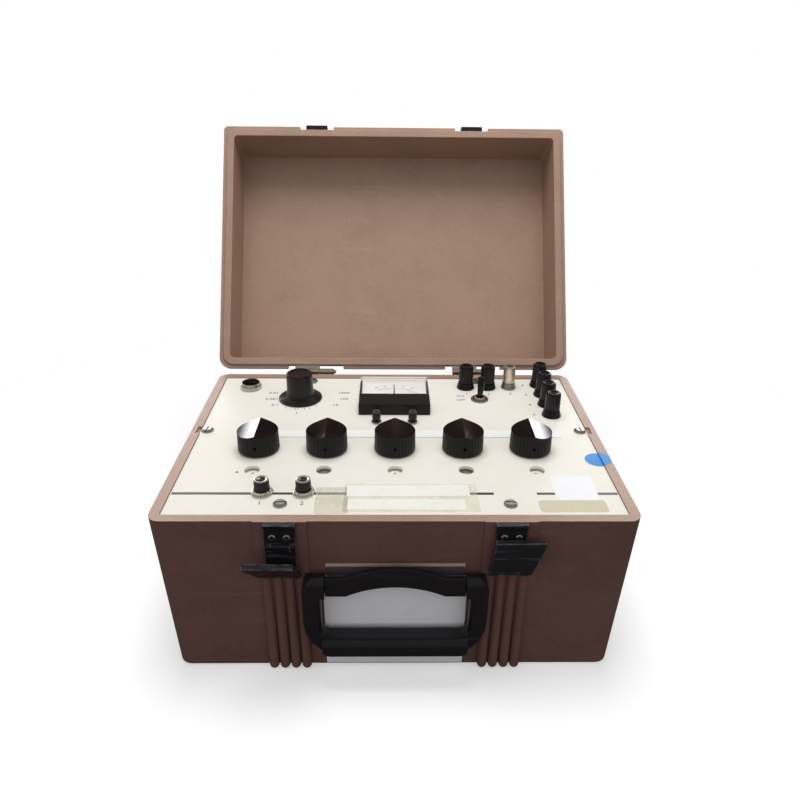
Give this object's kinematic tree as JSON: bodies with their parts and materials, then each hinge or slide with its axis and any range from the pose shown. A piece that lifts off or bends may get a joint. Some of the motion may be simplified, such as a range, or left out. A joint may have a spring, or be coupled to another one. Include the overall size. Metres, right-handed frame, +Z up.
{
  "type": "wheatstone bridge",
  "caption": "Portable Wheatstone bridge in a moulded case with hinged lid, decade dials, galvanometer, keys, binding posts and carrying handle.",
  "frame": {"origin": "middle of the case's flat underside", "axes": "+Z up, +X to the right of the panel, front face looks along -Y"},
  "size_m": [0.3242, 0.4145, 0.3317],
  "materials": {
    "case_plastic": "fine moulded grain, worn satin",
    "panel_cream": "cream enamel, satin",
    "black_plastic": "polished black phenolic",
    "key_caps": "black phenolic",
    "dials": "white printed disc",
    "plate_steel": "nickel plated",
    "switch_phenolic": "brown phenolic",
    "spool_wood": "waxed winding bobbins",
    "meter_clear": "clear acrylic",
    "meter_scale": "white printed scale",
    "magnet_iron": "ground",
    "needle_black": "matt black",
    "coil_copper": "enamelled wire",
    "bright_metal": "bright nickel",
    "latch_metal": "black painted steel, worn edges",
    "hinge_metal": "bright plating",
    "handle_black": "black moulded plastic",
    "card_white": "white foil card with a dark header",
    "tray_plastic": "black moulded",
    "cell_steel": "plain jackets"
  },
  "bodies": {
    "case": {"base_shell": "case_plastic", "battery_cells": "cell_steel", "battery_tray": "tray_plastic", "galvanometer_housing": "black_plastic", "galvanometer_magnet": "magnet_iron", "galvanometer_scale": "meter_scale", "galvanometer_window": "meter_clear", "handle_bracket": "handle_black", "hinge_base_leaves": "hinge_metal", "instruction_card": "card_white", "key_bushings": "bright_metal", "key_contact_blocks": "switch_phenolic", "latch_bases": "latch_metal", "latch_screws": "plate_steel", "null_button_bodies": "black_plastic", "panel": "panel_cream", "panel_nuts": "plate_steel", "panel_screws": "plate_steel", "post_feet": "black_plastic", "post_studs": "bright_metal", "resistor_spools": "spool_wood", "rotary_switches": "switch_phenolic", "socket_insert": "black_plastic", "socket_shell": "bright_metal", "switch_plate": "plate_steel", "toggle_switch": "switch_phenolic"},
    "lid": {"lid_shell": "case_plastic", "lid_catches": "latch_metal", "hinge_lid_leaves": "hinge_metal"},
    "handle": {"handle_loop": "handle_black"},
    "latch_link_left": {"latch_link_left": "latch_metal"},
    "latch_link_right": {"latch_link_right": "latch_metal"},
    "latch_lever_left": {"latch_lever_left": "latch_metal"},
    "latch_lever_right": {"latch_lever_right": "latch_metal"},
    "multiplier": {"multiplier_knob": "black_plastic", "multiplier_shaft": "plate_steel"},
    "galvanometer_needle": {"galvanometer_needle": "needle_black", "galvanometer_coil": "coil_copper"},
    "battery_key": {"battery_key": "key_caps"},
    "detector_key": {"detector_key": "key_caps"},
    "null_button_left": {"null_button_left": "key_caps"},
    "null_button_right": {"null_button_right": "key_caps"},
    "toggle": {"toggle_lever": "black_plastic"},
    "decade_1": {"decade_knob_1": "black_plastic", "decade_dial_1": "dials"},
    "decade_2": {"decade_knob_2": "black_plastic", "decade_dial_2": "dials"},
    "decade_3": {"decade_knob_3": "black_plastic", "decade_dial_3": "dials"},
    "decade_4": {"decade_knob_4": "black_plastic", "decade_dial_4": "dials"},
    "decade_5": {"decade_knob_5": "black_plastic", "decade_dial_5": "dials"},
    "post_cap_1": {"post_cap_1": "black_plastic"},
    "post_cap_2": {"post_cap_2": "black_plastic"},
    "post_cap_3": {"post_cap_3": "bright_metal"},
    "post_cap_4": {"post_cap_4": "black_plastic"},
    "post_cap_5": {"post_cap_5": "black_plastic"},
    "post_cap_6": {"post_cap_6": "black_plastic"},
    "post_cap_7": {"post_cap_7": "black_plastic"}
  },
  "joints": [
    {"name": "lid_hinge", "type": "hinge", "parent": "case", "child": "lid", "pos_m": [0, 0.119, 0.1288], "axis": [1, 0, 0], "range_deg": [0, 120.4]},
    {"name": "handle_pivot", "type": "hinge", "parent": "case", "child": "handle", "pos_m": [0, -0.1182, 0.0842], "axis": [-1, 0, 0], "range_deg": [0, 95]},
    {"name": "latch_link_right_hinge", "type": "hinge", "parent": "case", "child": "latch_link_right", "pos_m": [0.0738, -0.1157, 0.1115], "axis": [-1, 0, 0], "range_deg": [0, 150]},
    {"name": "latch_lever_right_hinge", "type": "hinge", "parent": "latch_link_right", "child": "latch_lever_right", "pos_m": [0.0738, -0.1173, 0.0922], "axis": [1, 0, 0], "range_deg": [0, 150]},
    {"name": "latch_link_left_hinge", "type": "hinge", "parent": "case", "child": "latch_link_left", "pos_m": [-0.0738, -0.1157, 0.1115], "axis": [1, 0, 0], "range_deg": [-85, 0]},
    {"name": "latch_lever_left_hinge", "type": "hinge", "parent": "latch_link_left", "child": "latch_lever_left", "pos_m": [-0.0738, -0.1173, 0.0922], "axis": [-1, 0, 0], "range_deg": [-111, 35]},
    {"name": "decade_1_turn", "type": "hinge", "parent": "case", "child": "decade_1", "pos_m": [-0.1016, -0.0205, 0.128], "axis": [0, 0, 1], "range_deg": [-150, 150]},
    {"name": "decade_2_turn", "type": "hinge", "parent": "case", "child": "decade_2", "pos_m": [-0.0508, -0.0205, 0.128], "axis": [0, 0, 1], "range_deg": [-150, 150]},
    {"name": "decade_3_turn", "type": "hinge", "parent": "case", "child": "decade_3", "pos_m": [0, -0.0205, 0.128], "axis": [0, 0, 1], "range_deg": [-150, 150]},
    {"name": "decade_4_turn", "type": "hinge", "parent": "case", "child": "decade_4", "pos_m": [0.0508, -0.0205, 0.128], "axis": [0, 0, 1], "range_deg": [-150, 150]},
    {"name": "decade_5_turn", "type": "hinge", "parent": "case", "child": "decade_5", "pos_m": [0.1016, -0.0205, 0.128], "axis": [0, 0, 1], "range_deg": [-150, 150]},
    {"name": "multiplier_turn", "type": "hinge", "parent": "case", "child": "multiplier", "pos_m": [-0.0802, 0.0648, 0.128], "axis": [0, 0, 1], "range_deg": [-150, 150]},
    {"name": "needle_swing", "type": "hinge", "parent": "case", "child": "galvanometer_needle", "pos_m": [0, 0.0485, 0.133], "axis": [0, 0, 1], "range_deg": [-40, 40], "stiffness_Nm_per_rad": 0.0002},
    {"name": "battery_key_press", "type": "slide", "parent": "case", "child": "battery_key", "axis": [0, 0, 1], "range_m": [-0.0025, 0], "stiffness_N_per_m": 400, "springref_m": 0.001},
    {"name": "detector_key_press", "type": "slide", "parent": "case", "child": "detector_key", "axis": [0, 0, 1], "range_m": [-0.0025, 0], "stiffness_N_per_m": 400, "springref_m": 0.001},
    {"name": "null_button_left_press", "type": "slide", "parent": "case", "child": "null_button_left", "axis": [0, 0, 1], "range_m": [-0.002, 0], "stiffness_N_per_m": 400, "springref_m": 0.001},
    {"name": "null_button_right_press", "type": "slide", "parent": "case", "child": "null_button_right", "axis": [0, 0, 1], "range_m": [-0.002, 0], "stiffness_N_per_m": 400, "springref_m": 0.001},
    {"name": "toggle_throw", "type": "hinge", "parent": "case", "child": "toggle", "pos_m": [0.0734, 0.0634, 0.1275], "axis": [0.9511, -0.309, 0], "range_deg": [0, 30]},
    {"name": "post_cap_1_lift", "type": "slide", "parent": "case", "child": "post_cap_1", "axis": [0, 0, 1], "range_m": [0, 0.005]},
    {"name": "post_cap_2_lift", "type": "slide", "parent": "case", "child": "post_cap_2", "axis": [0, 0, 1], "range_m": [0, 0.005]},
    {"name": "post_cap_3_lift", "type": "slide", "parent": "case", "child": "post_cap_3", "axis": [0, 0, 1], "range_m": [0, 0.005]},
    {"name": "post_cap_4_lift", "type": "slide", "parent": "case", "child": "post_cap_4", "axis": [0, 0, 1], "range_m": [0, 0.005]},
    {"name": "post_cap_5_lift", "type": "slide", "parent": "case", "child": "post_cap_5", "axis": [0, 0, 1], "range_m": [0, 0.005]},
    {"name": "post_cap_6_lift", "type": "slide", "parent": "case", "child": "post_cap_6", "axis": [0, 0, 1], "range_m": [0, 0.005]},
    {"name": "post_cap_7_lift", "type": "slide", "parent": "case", "child": "post_cap_7", "axis": [0, 0, 1], "range_m": [0, 0.005]}
  ],
  "couplings": [
    {"joint": "latch_lever_right_hinge", "follows": "latch_link_right_hinge", "ratio": 1}
  ]
}
